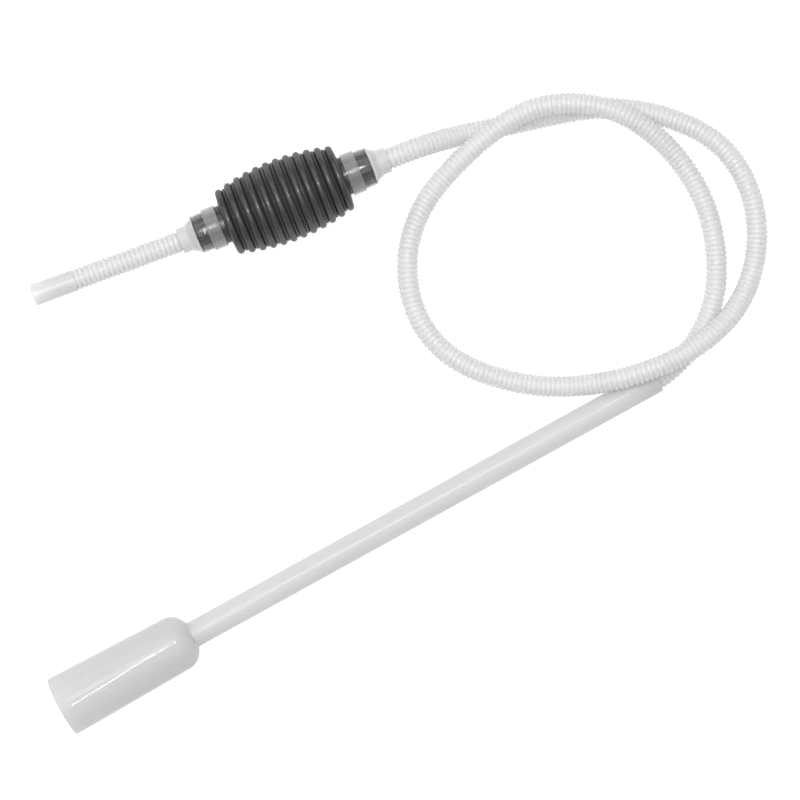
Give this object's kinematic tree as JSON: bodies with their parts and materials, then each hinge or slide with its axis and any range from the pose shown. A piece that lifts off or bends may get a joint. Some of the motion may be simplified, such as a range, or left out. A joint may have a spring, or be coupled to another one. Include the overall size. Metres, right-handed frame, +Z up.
{
  "type": "gravel vacuum siphon",
  "caption": "Siphon for cleaning aquarium gravel: a wide clear tube on a rigid pipe, a long corrugated hose, and a ribbed rubber hand pump with check valves and a short outlet tube.",
  "frame": {"origin": "on the table, under the middle of the box around the pipe, gravel tube, pump and outlet tube", "axes": "+Z up from the table; +X towards the pipe's hose end and the hose loop; +Y towards the pump"},
  "size_m": [0.548, 0.4755, 0.0625],
  "materials": {
    "head_plastic": "clear milky styrene, glossy",
    "pipe_plastic": "milky translucent pipe, glossy",
    "hose_plastic": "milky translucent polyethylene, satin",
    "clear_plastic": "clear, glossy",
    "collar_plastic": "smooth, half clear",
    "bulb_rubber": "black, semi-gloss",
    "black_plastic": "black, glossy thread crests",
    "seal_rubber": "black, matt",
    "silicone": "soft silicone, satin",
    "white_plastic": "moulded, satin"
  },
  "bodies": {
    "suction_side": {"bulb": "bulb_rubber", "inlet_collar": "collar_plastic", "inlet_valve_body": "black_plastic", "inlet_valve_cage": "white_plastic", "inlet_gasket": "seal_rubber", "inlet_cup": "clear_plastic", "main_hose": "hose_plastic", "suction_pipe": "pipe_plastic"},
    "gravel_tube": {"gravel_tube": "head_plastic"},
    "outlet_side": {"outlet_collar": "collar_plastic", "outlet_valve_body": "black_plastic", "outlet_valve_cage": "white_plastic", "outlet_gasket": "seal_rubber", "outlet_cup": "clear_plastic", "outlet_tube": "hose_plastic"},
    "inlet_valve": {"inlet_valve_disc": "silicone"},
    "outlet_valve": {"outlet_valve_disc": "silicone"}
  },
  "joints": [
    {"name": "bulb_squeeze", "type": "slide", "parent": "suction_side", "child": "outlet_side", "axis": [0.9298, 0.3681, 0], "range_m": [0, 0.026], "stiffness_N_per_m": 250, "deforming": ["bulb"]},
    {"name": "inlet_valve_lift", "type": "slide", "parent": "suction_side", "child": "inlet_valve", "axis": [-0.9298, -0.3681, 0], "range_m": [0, 0.0024]},
    {"name": "outlet_valve_lift", "type": "slide", "parent": "outlet_side", "child": "outlet_valve", "axis": [-0.9298, -0.3681, 0], "range_m": [0, 0.0024]},
    {"name": "gravel_tube_pull", "type": "slide", "parent": "suction_side", "child": "gravel_tube", "axis": [-0.876, -0.4816, 0.0274], "range_m": [0, 0.014]}
  ]
}
